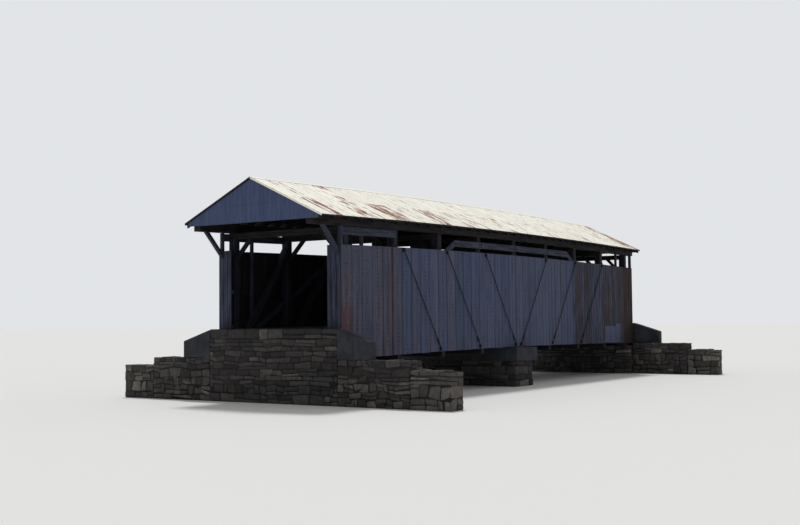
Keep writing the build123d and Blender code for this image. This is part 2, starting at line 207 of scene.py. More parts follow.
class BridgeColours(bpy.types.PropertyGroup):
    """Colours of the finishes."""

    # Siding colours: partly the weathered grey of the sheets and boards, partly painted sky shade that makes them
    # darker and bluer.
    sheet_cool: colour("Sheet", "Weathered siding sheet", 63, 74, 102)
    sheet_warm: colour("Brown sheet", "Siding sheet with brown weathering", 81, 76, 89)
    board_grey: colour("Board", "Weathered siding board", 73, 79, 99)
    board_brown: colour("Brown board", "Brown siding board", 72, 55, 54)
    # Grain colours of the old timbers: their own dark grey-brown, made darker still with painted shade of the
    # bridge's inside.
    timber_light: colour("Timber", "Lighter grain of the old timbers", 46, 43, 46)
    timber_dark: colour("Dark timber", "Darker grain of the old timbers", 23, 21, 24)
    # Grey timbers: partly their weathered grey, partly painted sky shade that makes them darker and bluer, like the
    # siding.
    grey_light: colour("Grey timber", "Lighter grain of the weathered timbers", 66, 69, 86)
    grey_dark: colour("Dark grey timber", "Darker grain of the weathered timbers", 34, 36, 47)
    roof: colour("Roof", "Pale roof sheet", 250, 247, 234)
    rust_light: colour("Rust", "Lighter rust", 172, 104, 84)
    rust_dark: colour("Dark rust", "Darker rust", 112, 58, 48)
    # Stone colour: partly the stone's own grey-brown, partly painted shade that makes it darker.
    stone: colour("Stone", "Grey-brown stone", 66, 64, 64)
    # Pale stone: partly the stones' own pale tone, partly painted sunlight on the outer wing blocks.
    stone_pale: colour("Pale stone", "Pale stone of the wings", 122, 117, 112)
    mortar: colour("Mortar", "Mortar between the stones", 42, 40, 41)
    # Concrete colour: partly its own grey, partly painted shade that makes it darker.
    concrete: colour("Concrete", "Old concrete", 57, 60, 66)
    iron: colour("Iron", "Dark iron of the rods", 17, 20, 21)


class BridgeStage(bpy.types.PropertyGroup):
    """Floor, light and camera."""

    floor: colour("Floor", "Plain floor", 226, 226, 224)
    backdrop: colour("Backdrop", "Background that the camera sees", 226, 228, 231)
    world_strength: FloatProperty(
        name="Sky light", description="Strength of the soft light all round", default=0.46, min=0,
    )
    sun_strength: FloatProperty(name="Sun", description="Strength of the soft sun", default=1.8, min=0)
    sun_size: FloatProperty(
        name="Sun size", description="Width of the sun, for soft shadows", default=radians(9), min=0,
        subtype="ANGLE",
    )


# Meshes


CUBE_FACES = [(0, 3, 2, 1), (4, 5, 6, 7), (0, 1, 5, 4), (1, 2, 6, 5), (2, 3, 7, 6), (3, 0, 4, 7)]
# The seam value sets how much painted shade, and on siding sheets also rust, lies at a board's two edges.
PLAIN_VALUES = {"tint": 0.0, "warm": 0.0, "rust": 0.0, "across": 0.5, "seam": 1.0}


class Shape:
    """Collects the small solids of one piece, and the values that its finish reads at each point."""

    def __init__(self):
        self.points = []
        self.faces = []
        self.finish_of_face = []
        self.values = {name: [] for name in PLAIN_VALUES}
        self.shifts = []

    def add(self, points, faces, number=0, across=None, shift=(0, 0, 0), **values):
        """Adds one solid, with the number of its finish."""
        first = len(self.points)
        count = len(points)
        self.points.extend(points)
        self.faces.extend([tuple(first + i for i in face) for face in faces])
        self.finish_of_face.extend([number] * len(faces))
        for name, plain in PLAIN_VALUES.items():
            given = across if name == "across" else None
            self.values[name].extend(given or [values.get(name, plain)] * count)
        self.shifts.extend([shift] * count)

    def prism(self, outline, far_outline, number=0, across=None, **values):
        """Adds a solid between two outlines with the same number of points."""
        count = len(outline)
        faces = [tuple(reversed(range(count))), tuple(range(count, 2 * count))]
        for i in range(count):
            following = (i + 1) % count
            faces.append((i, following, count + following, count + i))
        both = None if across is None else list(across) * 2
        self.add(list(outline) + list(far_outline), faces, number, both, **values)

    def build(self, name, finishes, nodes=(), smooth=False, bevel=0.0):
        """Makes the piece, which rides on the bridge and may stand for nodes of the frame."""
        mesh = bpy.data.meshes.new(name)
        mesh.from_pydata([tuple(point) for point in self.points], [], self.faces)
        for value_name, numbers in self.values.items():
            layer = mesh.attributes.new(value_name, "FLOAT", "POINT")
            layer.data.foreach_set("value", numbers)
        layer = mesh.attributes.new("shift", "FLOAT_VECTOR", "POINT")
        layer.data.foreach_set("vector", [part for shift in self.shifts for part in shift])
        for finish_name in finishes:
            mesh.materials.append(finish(finish_name))
        mesh.polygons.foreach_set("material_index", self.finish_of_face)
        mesh.polygons.foreach_set("use_smooth", [smooth] * len(self.faces))
        mesh.validate()
        mesh.update()
        turn_faces_out(mesh)
        piece = bpy.data.objects.new(name, mesh)
        bpy.context.scene.collection.objects.link(piece)
        if bevel:
            soften(piece, bevel)
        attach(piece, "root")
        if nodes:
            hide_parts(*nodes)
        return piece


def turn_faces_out(mesh):
    """Turns every face outwards."""
    sheet = bmesh.new()
    sheet.from_mesh(mesh)
    bmesh.ops.recalc_face_normals(sheet, faces=sheet.faces)
    sheet.to_mesh(mesh)
    sheet.free()


def soften(piece, width, weld=False):
    """Rounds the arrises a little."""
    if weld:
        join = piece.modifiers.new("Join", "WELD")
        join.merge_threshold = 0.0001
    edge = piece.modifiers.new("Arris", "BEVEL")
    edge.width = width
    edge.segments = 1
    edge.limit_method = "ANGLE"
    edge.angle_limit = radians(40)


def own_values(rng, tint=0.5, warm=0.0, rust=0.0, seam=1.0):
    """Values that make one board differ from the next."""
    return {
        "tint": rng.uniform(-tint, tint),
        "warm": warm,
        "rust": rust,
        "seam": seam,
        "shift": (rng.uniform(0, 40), rng.uniform(0, 40), rng.uniform(0, 40)),
    }


def disc(shape, centre, axis, radius, thick, sides, number=0, dome=0.0):
    """Adds a washer, nut or nail head that stands on a surface."""
    axis = Vector(axis).normalized()
    helper = Vector((0, 0, 1)) if abs(axis.z) < 0.9 else Vector((0, 1, 0))
    first = axis.cross(helper).normalized()
    second = axis.cross(first)
    angles = [2 * pi * i / sides for i in range(sides)]
    shape.prism(*(
        [Vector(centre) + axis * reach + (first * cos(a) + second * sin(a)) * radius * kept for a in angles]
        for reach, kept in ((0.0, 1.0), (thick, 1.0 - dome))
    ), number)


def board_edges(rng, start, stop, width, spread):
    """Edges of boards from start to stop, of about this width."""
    count = max(1, round((stop - start) / width))
    widths = [1 + rng.uniform(-spread, spread) for _ in range(count)]
    scale = (stop - start) / sum(widths)
    edges = [start]
    for part in widths:
        edges.append(edges[-1] + part * scale)
    return edges


def ribbed(a, b, fold):
    """Places on a sheet from a to b, each with 1 on a folded rib and 0 beside it."""
    middle = (a + b) / 2
    return [
        (a, 0), (a + fold * 0.6, 1), (a + fold * 1.6, 0),
        (middle - fold, 0), (middle, 1), (middle + fold, 0),
        (b - fold * 1.6, 0), (b - fold * 0.6, 1), (b, 0),
    ]


def across_sheet(ribs):
    """How far across its sheet each place lies, after the two corners of the back."""
    a, b = ribs[0][0], ribs[-1][0]
    return [1.0, 0.0] + [(y - a) / (b - a) for y, up in ribs]


# Nodes of the finishes


class Value:
    """What a node gives. A sum, difference or product of values places a node of its own."""

    def __init__(self, nodes, socket):
        self.nodes = nodes
        self.socket = socket

    def __add__(self, other):
        return self.nodes.math("ADD", self, other)

    def __sub__(self, other):
        return self.nodes.math("SUBTRACT", self, other)

    def __rsub__(self, other):
        return self.nodes.math("SUBTRACT", other, self)

    def __mul__(self, other):
        return self.nodes.math("MULTIPLY", self, other)

    def apart(self, other):
        """How far two values are apart."""
        return self.nodes.math("ABSOLUTE", self - other)

    def masked(self, sharpness):
        """A mask of where the value is above 0."""
        return self.nodes.math("MULTIPLY", self, sharpness, clamp=True)

    def folded(self, width):
        """The value going up and down between 0 and a width."""
        return self.nodes.math("PINGPONG", self, width)

    def step(self, low, high, to_low=0.0, to_high=1.0):
        """Maps the value smoothly from one range to another."""
        terms = {"Value": self, "From Min": low, "From Max": high, "To Min": to_low, "To Max": to_high}
        return self.nodes.output("ShaderNodeMapRange", terms, interpolation_type="SMOOTHSTEP")

    def stretch(self, scale):
        """Coordinates stretched by a scale on each axis."""
        return self.nodes.output("ShaderNodeMapping", {"Vector": self, "Scale": scale})

    def noise(self, scale, detail, roughness, distortion=0.0):
        """A noise at these coordinates, with one scale or a scale on each axis."""
        vector, scale = (self.stretch(scale), 1.0) if isinstance(scale, tuple) else (self, scale)
        terms = {
            "Vector": vector, "Scale": scale, "Detail": detail, "Roughness": roughness, "Distortion": distortion,
        }
        return self.nodes.output("ShaderNodeTexNoise", terms, "Fac")

    def patches(self, scale, amount, sharpness):
        """A mask of broken patches at these coordinates."""
        return self.nodes.use("Patches", Vector=self.stretch(scale), Amount=amount, Sharpness=sharpness)["Mask"]

    def streaks(self, amount):
        """A mask of stains that run down at these coordinates."""
        return self.nodes.use("Streaks", Vector=self, Amount=amount)["Mask"]

    def rust(self, scale, amount, dark, light):
        """Colour, mask and height of rust at these coordinates."""
        return self.nodes.use("Rust", Vector=self.stretch(scale), Amount=amount, Dark=dark, Light=light)

    def parts(self):
        """The three parts of a vector by name."""
        return self.nodes.outputs("ShaderNodeSeparateXYZ", {0: self})


class Nodes:
    """Places and links the nodes of one tree."""

    def __init__(self, tree):
        self.tree = tree

    def put(self, socket, value):
        """Links a value to a socket, or sets a constant."""
        if isinstance(value, Value):
            self.tree.links.new(value.socket, socket)
        elif socket.type == "RGBA":
            socket.default_value = (*value[:3], 1)
        else:
            socket.default_value = value

    def place(self, kind, inputs=None, **settings):
        """Places a node, sets it and fills its inputs."""
        made = self.tree.nodes.new(kind)
        for name, value in settings.items():
            setattr(made, name, value)
        for name, value in (inputs or {}).items():
            self.put(made.inputs[name], value)
        return made

    def output(self, kind, inputs=None, name=0, **settings):
        """Places a node and gives one output."""
        return Value(self, self.place(kind, inputs, **settings).outputs[name])

    def outputs(self, kind, inputs=None, **settings):
        """Places a node and gives its outputs by name."""
        return {socket.name: Value(self, socket) for socket in self.place(kind, inputs, **settings).outputs}

    def math(self, operation, *terms, clamp=False):
        """A step of arithmetic on single values."""
        return self.output("ShaderNodeMath", dict(enumerate(terms)), operation=operation, use_clamp=clamp)

    def blend(self, part, first, second, way="MIX"):
        """Blends two colours by a part from 0 to 1."""
        terms = {0: part, 6: first, 7: second}
        return self.output("ShaderNodeMix", terms, 2, data_type="RGBA", blend_type=way, clamp_factor=True)

    def joined(self, x, y, z):
        """A vector of three values."""
        return self.output("ShaderNodeCombineXYZ", {0: x, 1: y, 2: z})

    def use(self, name, **inputs):
        """Places a shared group and gives its outputs by name."""
        return self.outputs("ShaderNodeGroup", inputs, node_tree=shared_group(name))


class Finish(Nodes):
    """The nodes of one material, and the colour that it has so far."""

    def __init__(self, name, metallic=0.0):
        self.material = bpy.data.materials.new(name)
        self.material.use_nodes = True
        super().__init__(self.material.node_tree)
        self.shader = self.tree.nodes["Principled BSDF"]
        self.shader.inputs["Metallic"].default_value = metallic
        self.shader.inputs["Specular IOR Level"].default_value = 0.15
        self.base = None

    def value(self, name, kind="Fac"):
        """A value that the piece's mesh holds."""
        return self.output("ShaderNodeAttribute", name=kind, attribute_name=name)

    def on_bridge(self):
        """Coordinates of the bridge."""
        return self.output("ShaderNodeTexCoord", name="Object")

    def on_board(self):
        """Coordinates of the bridge, moved by each board's own shift."""
        terms = {0: self.on_bridge(), 1: self.value("shift", "Vector")}
        return self.output("ShaderNodeVectorMath", terms, operation="ADD")

    def along_grain(self, where, along, across, mirrored):
        """Coordinates with the grain along X. A mirrored grain is the same on both sides of mid-span."""
        if mirrored:
            parts = where.parts()
            where = self.joined(parts["X"], parts["Y"].apart(MID_Y), parts["Z"])
        through = Vector(along).cross(Vector(across))
        return self.joined(*(
            self.output("ShaderNodeVectorMath", {0: where, 1: tuple(way)}, "Value", operation="DOT_PRODUCT")
            for way in (along, across, through)
        ))

    def edge(self):
        """A mask at the two edges of a board or sheet."""
        return self.use("Board edge", Across=self.value("across"))["Mask"]

    def start(self, part, first, second):
        """Blends the first colour of the material."""
        self.base = self.blend(part, first, second)

    def paint(self, mask, tone):
        """Lays another colour over the material where the mask is."""
        self.base = self.blend(mask, self.base, tone)

    def tint(self, amount):
        """Makes each board or stone a little lighter or darker."""
        bright = self.value("tint") * amount + 1.0
        grey = self.output("ShaderNodeCombineColor", {0: bright, 1: bright, 2: bright})
        self.base = self.blend(1.0, self.base, grey, "MULTIPLY")

    def done(self, roughness, height, strength, distance):
        """Gives the shader its colour, roughness and relief, and hands over the material."""
        relief = self.output("ShaderNodeBump", {"Height": height, "Strength": strength, "Distance": distance})
        for name, value in (("Base Color", self.base), ("Roughness", roughness), ("Normal", relief)):
            self.put(self.shader.inputs[name], value)
        return self.material


# Effects that the finishes share


def grain_effect(given):
    """Grain, checks and height of sawn wood, with the grain along X."""
    where = given["Vector"]
    broad = where.noise((0.9, 14, 14), 5, 0.6, 0.4)
    fine = where.noise((2.2, 90, 90), 3, 0.6)
    split = where.noise((0.7, 34, 34), 2, 0.5, 0.2)
    checks = split.step(0.74 - given["Checks"] * 0.14, 0.8)
    return {
        "Tone": (broad * 0.65 + fine * 0.35).step(0.33, 0.67),
        "Checks": checks,
        "Height": fine * 0.5 - checks,
    }


def patches_effect(given):
    """A mask of broken patches."""
    over = given["Vector"].noise(1.0, 6, 0.62, 0.3) - (0.78 - given["Amount"] * 0.5)
    return {"Mask": over.masked(given["Sharpness"])}


def rust_effect(given):
    """Colour, mask and height of rust."""
    where = given["Vector"]
    nodes = where.nodes
    mask = nodes.use("Patches", Vector=where, Amount=given["Amount"], Sharpness=13.0)["Mask"]
    tone = where.noise(5.0, 5, 0.65).step(0.3, 0.7)
    return {
        "Color": nodes.blend(tone, given["Dark"], given["Light"]),
        "Mask": mask,
        "Height": where.noise(40.0, 3, 0.6) * mask,
    }


def streaks_effect(given):
    """A mask of stains that run down."""
    over = given["Vector"].noise((9, 9, 0.35), 5, 0.6, 0.1) - (0.72 - given["Amount"] * 0.4)
    return {"Mask": over.masked(6.0)}


def edge_effect(given):
    """A mask that grows at the two edges of a board or sheet."""
    return {"Mask": given["Across"].apart(0.5).step(0.39, 0.48)}


EFFECTS = {
    "Wood grain": (grain_effect, {"Vector": None, "Checks": 0.5}, ("Tone", "Checks", "Height")),
    "Patches": (patches_effect, {"Vector": None, "Amount": 0.5, "Sharpness": 9.0}, ("Mask",)),
    "Rust": (
        rust_effect, {"Vector": None, "Amount": 0.4, "Dark": None, "Light": None}, ("Color", "Mask", "Height"),
    ),
    "Streaks": (streaks_effect, {"Vector": None, "Amount": 0.5}, ("Mask",)),
    "Board edge": (edge_effect, {"Across": 0.5}, ("Mask",)),
}
SOCKETS = {
    "Vector": "NodeSocketVector", "Dark": "NodeSocketColor", "Light": "NodeSocketColor", "Color": "NodeSocketColor",
}


def shared_group(name):
    """The group of nodes of an effect, made once."""
    if name in bpy.data.node_groups:
        return bpy.data.node_groups[name]
    effect, inputs, outputs = EFFECTS[name]
    group = bpy.data.node_groups.new(name, "ShaderNodeTree")
    for label, default in inputs.items():
        kind = SOCKETS.get(label, "NodeSocketFloat")
        socket = group.interface.new_socket(name=label, in_out="INPUT", socket_type=kind)
        if default is not None:
            socket.default_value = default
    for label in outputs:
        kind = SOCKETS.get(label, "NodeSocketFloat")
        group.interface.new_socket(name=label, in_out="OUTPUT", socket_type=kind)
    nodes = Nodes(group)
    nodes.place("NodeGroupOutput", effect(nodes.outputs("NodeGroupInput")))
    return group


# Finishes


def shade(tone, factor, more=0.0):
    """A colour made darker or lighter."""
    return [min(1.0, part * factor + more) for part in tone]


def wood_finish(name, grain, mirrored, dark, light, brown, checks, grime, weathered):
    """Weathered sawn wood with its grain along one direction."""
    made = Finish(name)
    where = made.on_board()
    wood = made.use("Wood grain", Vector=made.along_grain(where, *grain, mirrored), Checks=checks)
    made.start(wood["Tone"], dark, light)
    if brown is not None:
        warm = made.value("warm")
        runs = where.noise((10, 10, 0.4), 5, 0.65) + warm * 0.5
        made.paint(runs.step(0.66, 0.8), made.blend(wood["Tone"], shade(brown, 0.55), brown))
        made.paint(where.patches((13, 13, 4.5), 0.34, 9.0) * warm.step(0.0, 0.3, 0.0, 0.75), shade(brown, 0.35))
    made.paint(where.patches((0.9, 0.9, 0.6), grime, 4.0) * 0.45, shade(dark, 0.45))
    made.paint(where.streaks(weathered) * 0.35, shade(light, 1.35, 0.01))
    # Painted shade in the seams: each board is darker at its two edges, as strongly as its seam value says.
    made.paint(made.edge() * made.value("seam") * 0.5, shade(dark, 0.4))
    made.paint(wood["Checks"], shade(dark, 0.25))
    made.tint(0.5)
    return made.done(wood["Tone"].step(0, 1, 0.92, 0.74), wood["Height"], 0.6, 0.003)


def sheet_finish(name, colours):
    """Old siding sheet: blue-grey with run-down stains, rust at its nails, seams and foot, and painted shade in its
    seams.
    """
    made = Finish(name)
    where = made.on_board()
    across = made.value("across")
    height = made.on_bridge().parts()["Z"]
    made.start(made.value("warm"), colours.sheet_cool, colours.sheet_warm)
    cloud = where.noise((5, 5, 0.5), 6, 0.65)
    made.paint(cloud.step(0.4, 0.68, 0.0, 0.85), shade(colours.sheet_cool, 0.6))
    made.paint(where.streaks(0.5) * 0.35, shade(colours.sheet_cool, 1.5))
    seam = made.edge() * made.value("seam")
    foot = height.step(SHEET_BOTTOM, SHEET_BOTTOM + 1.3, 0.3, 0.0)
    lower_part = height.step(SHEET_BOTTOM + 0.6, SHEET_TOP - 0.3, 1.0, 0.45)
    amount = seam * 0.2 + foot + made.value("rust") * lower_part
    rusty = where.rust((6, 6, 1.0), amount, shade(colours.rust_dark, 0.6), shade(colours.rust_light, 0.42))
    made.paint(rusty["Mask"] * 0.5, rusty["Color"])
    # Dark brown along the seams: partly rust and dirt, partly painted shade in the seams.
    made.paint(seam * 0.6, shade(colours.board_brown, 0.35))
    column = made.math("MINIMUM", across.folded(0.5), across.apart(0.5)).step(0.03, 0.1, 1.0, 0.0)
    nail = height.folded(0.075).step(0.0, 0.045, 1.0, 0.0)
    broken = where.noise((3, 3, 3.4), 4, 0.7).step(0.5, 0.55)
    made.paint(nail * column * broken, shade(colours.board_brown, 0.3))
    made.tint(0.5)
    relief = where.noise((2.5, 2.5, 1.2), 2, 0.5) + rusty["Height"] * 0.2
    return made.done(rusty["Mask"].step(0, 1, 0.6, 0.9), relief, 0.35, 0.012)


def roof_finish(name, colours):
    """Pale roof sheet with grey stains and reddish rust down the slope."""
    made = Finish(name)
    where = made.on_board()
    across = made.value("across")
    cloud = where.noise((0.8, 3.0, 1.6), 5, 0.6)
    made.start(cloud.step(0.4, 0.8, 0.0, 0.35), colours.roof, shade(colours.roof, 0.74))
    # Painted shade along the two edges of each sheet, where the sheets lap.
    made.paint(made.edge() * 0.12, shade(colours.roof, 0.4))
    rusty = where.rust((1.3, 5.2, 1.6), made.value("rust"), colours.rust_dark, shade(colours.rust_light, 0.85))
    made.paint(rusty["Mask"] * 0.92, rusty["Color"])
    side_rib = across.folded(0.5).step(0.0, 0.1, 1.0, 0.0)
    middle_rib = across.apart(0.5).step(0.0, 0.07, 1.0, 0.0)
    dashes = made.math("MAXIMUM", side_rib, middle_rib) * where.patches((2.6, 5, 2.6), 0.54, 10.0)
    made.paint(dashes * 0.75, shade(colours.rust_dark, 0.8))
    made.tint(0.1)
    relief = where.noise((1.5, 3, 1.5), 2, 0.5) + rusty["Height"] * 0.2
    return made.done(rusty["Mask"].step(0, 1, 0.55, 0.88), relief, 0.3, 0.01)


def stone_finish(name, colours):
    """Rough stone, each a little different, with pale and dark spots."""
    made = Finish(name)
    where = made.on_board()
    cloud = where.noise(6.0, 6, 0.65, 0.2)
    made.start(made.value("warm"), colours.stone, colours.stone_pale)
    made.paint(cloud.step(0.3, 0.75, 0.6, 0.0), shade(colours.stone, 0.45))
    made.paint(where.patches((7, 7, 7), 0.42, 7.0) * 0.45, shade(colours.stone, 1.6))
    made.tint(0.7)
    return made.done(0.93, cloud + where.noise(22.0, 6, 0.7) * 0.5, 0.8, 0.02)


def mortar_finish(name, colours):
    """Sandy mortar deep in the joints."""
    made = Finish(name)
    sand = made.on_bridge().noise(60.0, 4, 0.7)
    made.start(sand, shade(colours.mortar, 0.6), shade(colours.mortar, 1.25))
    return made.done(0.95, sand, 0.7, 0.006)


def concrete_finish(name, colours):
    """Old concrete with board marks, pores and stains that run down."""
    made = Finish(name)
    where = made.on_bridge()
    tone = colours.concrete
    made.start(where.noise(1.6, 6, 0.6, 0.3).step(0.3, 0.7), shade(tone, 0.7), shade(tone, 1.2))
    made.paint(where.streaks(0.45) * 0.5, shade(tone, 0.4))
    mark = where.parts()["Z"].folded(0.09).step(0.0, 0.006, 1.0, 0.0)
    made.paint(mark * 0.35, shade(tone, 0.5))
    pores = where.patches((30, 30, 30), 0.12, 12.0)
    made.paint(pores * 0.7, shade(tone, 0.3))
    return made.done(0.9, where.noise(45.0, 5, 0.7) * 0.5 - pores - mark, 0.5, 0.006)


def iron_finish(name, colours):
    """Dark iron with brown rust."""
    made = Finish(name, 0.1)
    rusty = made.on_board().rust((9, 9, 4), 0.4, shade(colours.rust_dark, 0.5), colours.rust_dark)
    made.start(rusty["Mask"], colours.iron, rusty["Color"])
    return made.done(rusty["Mask"].step(0, 1, 0.75, 0.95), rusty["Height"], 0.5, 0.002)


def slanted(run, fall):
    """Grain that rises towards mid-span on a brace that leans in the side of the bridge."""
    slope = atan2(fall, run)
    return ((0, -cos(slope), sin(slope)), (0, sin(slope), cos(slope)))


def leaning(run, fall):
    """Grain of a timber that leans across the bridge."""
    slope = atan2(fall, run)
    return ((cos(slope), 0, sin(slope)), (-sin(slope), 0, cos(slope)))


# Each way that a grain runs: its direction, one across it, and whether it is mirrored at mid-span
GRAINS = {
    "X": (((1, 0, 0), (0, 1, 0)), False),
    "Y": (((0, 1, 0), (1, 0, 0)), False),
    "Z": (((0, 0, 1), (0, 1, 0)), False),
    "truss brace": (slanted(2.75, 3.6), True),
    "queen brace": (slanted(6.9, 3.9), True),
    "overhang knee": (((0, -0.69, 0.725), (0, 0.725, 0.69)), False),
    "left rafter": (leaning(1, PITCH_FALL), False),
    "right rafter": (leaning(1, -PITCH_FALL), False),
}
OTHER_FINISHES = {
    "siding sheet": sheet_finish, "roof sheet": roof_finish, "rough stone": stone_finish,
    "sandy mortar": mortar_finish, "old concrete": concrete_finish, "rusted iron": iron_finish,
}
MADE_FINISHES = {}


def finish(name):
    """A finish by its name, made once."""
    if name not in MADE_FINISHES:
        MADE_FINISHES[name] = make_finish(name, bpy.context.scene.bridge_colours)
    return MADE_FINISHES[name]


def make_finish(name, colours):
    """Makes a finish from its name. The name of a wood finish says which way its grain runs."""
    if name in OTHER_FINISHES:
        return OTHER_FINISHES[name](name, colours)
    # Old and truss timbers carry painted shade of the bridge's inside. The truss's light grain is the grey timber's
    # light grain at 0.55, a shaded copy.
    old = (colours.timber_dark, colours.timber_light, None)
    grey = (colours.grey_dark, colours.grey_light, None)
    truss = (colours.timber_dark, shade(colours.grey_light, 0.55), None)
    siding = (colours.grey_dark, colours.board_grey, colours.board_brown)
    gable = (shade(colours.sheet_cool, 1.05), shade(colours.sheet_cool, 1.4), colours.board_brown)
    tones, *amounts = {
        "old timber": (old, 0.6, 0.5, 0.2),
        "grey timber": (grey, 0.6, 0.35, 0.4),
        "truss timber": (truss, 0.6, 0.45, 0.2),
        "siding board": (siding, 0.6, 0.4, 0.4),
        "gable board": (gable, 0.2, 0.3, 0.4),
        "deck plank": (old, 0.7, 0.6, 0.1),
        "roof board": (old, 0.4, 0.3, 0.1),
    }[name.partition(" along ")[0]]
    return wood_finish(name, *GRAINS[name.partition(" along ")[2]], *tones, *amounts)


def give_finish(node_name, finish_name):
    """Gives a node of the frame its finish."""
    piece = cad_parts[node_name]
    piece.data.materials.clear()
    piece.data.materials.append(finish(finish_name))
    return piece


# Stone work


def rough_stone(shape, low, high, rng, **values):
    """Adds one stone: a box out of true with worn arrises."""
    low = Vector(low)
    size = Vector(high) - low
    worn = min(0.04, 0.22 * min(size))
    grid = [(0.0, worn, size[axis] - worn, size[axis]) for axis in range(3)]
    skew = [[Vector([rng.uniform(-0.4, 0.4) * worn for _ in range(3)]) for _ in range(4)] for _ in range(2)]
    index = {}
    points = []
    for cell in product(range(4), repeat=3):
        outer = sum(n in (0, 3) for n in cell)
        if not outer:
            continue
        spot = Vector([grid[axis][n] for axis, n in enumerate(cell)])
        if outer > 1:
            pull = worn * (0.3 if outer == 2 else 0.5)
            for axis, n in enumerate(cell):
                spot[axis] += {0: pull, 3: -pull}.get(n, 0.0)
        spot += Vector([rng.uniform(-0.12, 0.12) * worn for _ in range(3)])
        i, j, k = (n // 2 for n in cell)
        spot += skew[k][i * 2 + j]
        index[cell] = len(points)
        points.append(low + spot)
    faces = []
    for axis, side in product(range(3), (0, 3)):
        one, two = (other for other in range(3) if other != axis)
        for a, b in product(range(3), repeat=2):
            ring = []
            for da, db in ((0, 0), (1, 0), (1, 1), (0, 1)):
                key = [side] * 3
                key[one], key[two] = a + da, b + db
                ring.append(index[tuple(key)])
            faces.append(tuple(ring))
    shape.add(points, faces, **values)


def settle(shape, first, low, high, amount):
    """Lets the stones of a wall lie out of line, less towards the edges of the wall."""
    for number in range(first, len(shape.points)):
        spot = Vector(shape.points[number])
        wave = noise_vector(spot * 1.9) + 0.5 * noise_vector(spot * 4.3)
        for axis in range(3):
            to_edge = min(spot[axis] - low[axis], high[axis] - spot[axis])
            fade = max(0.0, min(1.0, to_edge / 0.3))
            spot[axis] += amount * fade * wave[axis]
        spot.z = max(low[2], spot.z)
        shape.points[number] = spot


def split_stone(rng, bottom, top, wide):
    """A stone's place in its course, now and then shared by two thin stones."""
    if top - bottom < 0.2 or wide < 0.2 or rng.random() > 0.45:
        return [(bottom, top)]
    middle = bottom + (top - bottom) * rng.uniform(0.35, 0.65)
    return [(bottom, middle), (middle, top)]


def stone_wall(
    shape, low, high, rng, course, joint, depth=0.3, stone_length=(0.3, 0.75), pale=0.0, uneven=0.0, loose=0.085,
):
    """Adds a wall of rubble round a core of mortar."""
    x0, y0, z0 = low
    x1, y1, z1 = high
    ring = [(x0 + INSET, y0 + INSET), (x1 - INSET, y0 + INSET), (x1 - INSET, y1 - INSET), (x0 + INSET, y1 - INSET)]
    shape.add([(x, y, z) for z in (z0, z1 - 0.004 - 0.7 * uneven) for x, y in ring], CUBE_FACES, 1)
    first = len(shape.points)
    depth = min(depth, (x1 - x0) / 2, (y1 - y0) / 2)
    half = joint / 2
    for number, (bottom, top) in enumerate(pairs(board_edges(rng, z0, z1, course, 0.4))):
        owns_x = number % 2 == 0
        runs = []
        start_x, stop_x = (x0, x1) if owns_x else (x0 + depth, x1 - depth)
        start_y, stop_y = (y0 + depth, y1 - depth) if owns_x else (y0, y1)
        for at_far_side in (False, True):
            if stop_x - start_x > 0.05:
                runs.append((0, start_x, stop_x, *((y1 - depth, y1) if at_far_side else (y0, y0 + depth))))
            if stop_y - start_y > 0.05:
                runs.append((1, start_y, stop_y, *((x1 - depth, x1) if at_far_side else (x0, x0 + depth))))
        for axis, start, stop, inner, outer in runs:
            for a, b in pairs(board_edges(rng, start, stop, rng.uniform(*stone_length), 0.55)):
                for stone_bottom, stone_top in split_stone(rng, bottom, top, b - a):
                    proud = rng.uniform(0, 0.022)
                    lowered = rng.uniform(0, uneven) if stone_top > z1 - 0.001 else half
                    spans = ((a + half, b - half), (inner + proud, outer - proud))
                    (sx0, sx1), (sy0, sy1) = spans if axis == 0 else spans[::-1]
                    lightness = pale + rng.uniform(-0.25, 0.25) + (0.5 if rng.random() < 0.08 else 0.0)
                    values = own_values(rng, 0.55, share(lightness))
                    rough_stone(
                        shape, (sx0, sy0, stone_bottom + half), (sx1, sy1, stone_top - lowered), rng, **values,
                    )
    settle(shape, first, low, high, loose)


